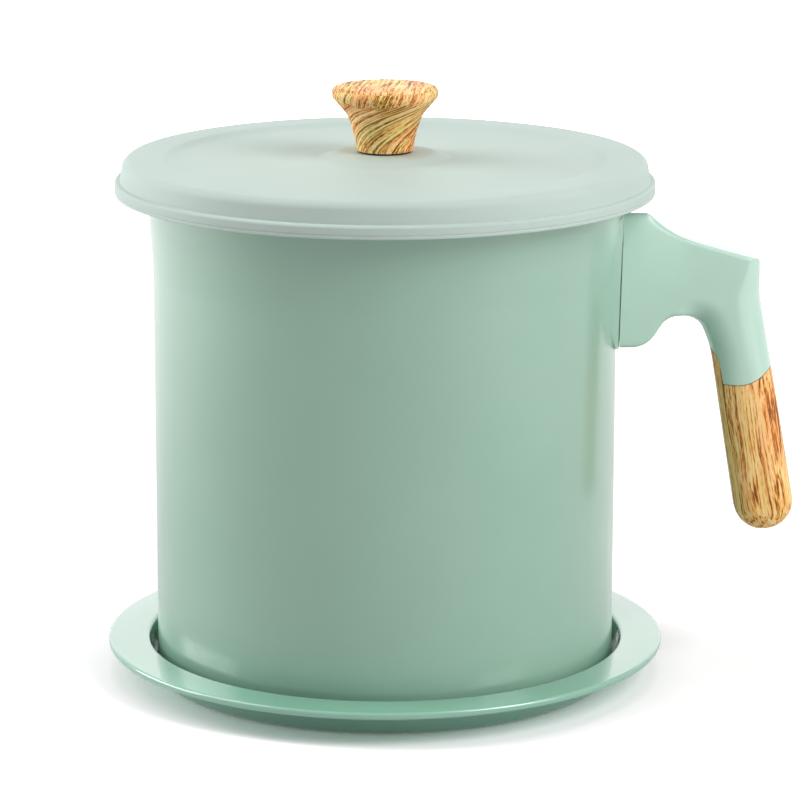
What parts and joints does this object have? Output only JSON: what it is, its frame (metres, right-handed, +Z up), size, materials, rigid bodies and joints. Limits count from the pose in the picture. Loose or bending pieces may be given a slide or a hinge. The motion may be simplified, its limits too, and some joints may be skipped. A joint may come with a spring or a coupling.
{
  "type": "bacon grease container",
  "caption": "Straight-sided coated steel pot with a lift-off lid and flared knob, an elbow side handle, a mesh strainer cup inside and a drip tray under it.",
  "frame": {"origin": "on the pot's axis, on the underside of the drip tray", "axes": "+Z up, +X towards the handle, +Y completes the right-handed frame and runs across the handle"},
  "size_m": [0.1913, 0.155, 0.1649],
  "materials": {
    "green_coated_steel": "smooth glossy sage green coating",
    "green_moulding": "satin-gloss moulding, the same green",
    "wood_grain_moulding": "wood-grain film under a satin lacquer",
    "stainless_steel": "brushed",
    "stainless_mesh": "fine plain weave",
    "plated_steel": "bright zinc plate",
    "brass": "turned",
    "black_rubber": "matt"
  },
  "bodies": {
    "tray": {"drip_tray": "green_coated_steel"},
    "pot": {"pot_body": "green_coated_steel", "handle_bracket": "green_coated_steel", "handle_lug": "plated_steel", "handle_arm": "green_moulding", "handle_washer": "plated_steel", "handle_screw": "plated_steel", "handle_grip": "wood_grain_moulding", "grip_insert": "brass", "grip_washer": "plated_steel", "grip_screw": "plated_steel"},
    "strainer": {"strainer_cup": "stainless_steel", "strainer_mesh": "stainless_mesh", "mesh_ring": "stainless_steel"},
    "lid": {"lid_panel": "green_coated_steel", "knob_gasket": "black_rubber", "lid_knob": "wood_grain_moulding", "knob_insert": "brass", "knob_washer": "plated_steel", "knob_screw": "plated_steel"}
  },
  "joints": [
    {"name": "pot_lift", "type": "slide", "parent": "tray", "child": "pot", "axis": [0, 0, 1], "range_m": [0, 0.04]},
    {"name": "strainer_lift", "type": "slide", "parent": "pot", "child": "strainer", "axis": [0, 0, 1], "range_m": [0, 0.08]},
    {"name": "lid_lift", "type": "slide", "parent": "strainer", "child": "lid", "axis": [0, 0, 1], "range_m": [0, 0.04]}
  ]
}
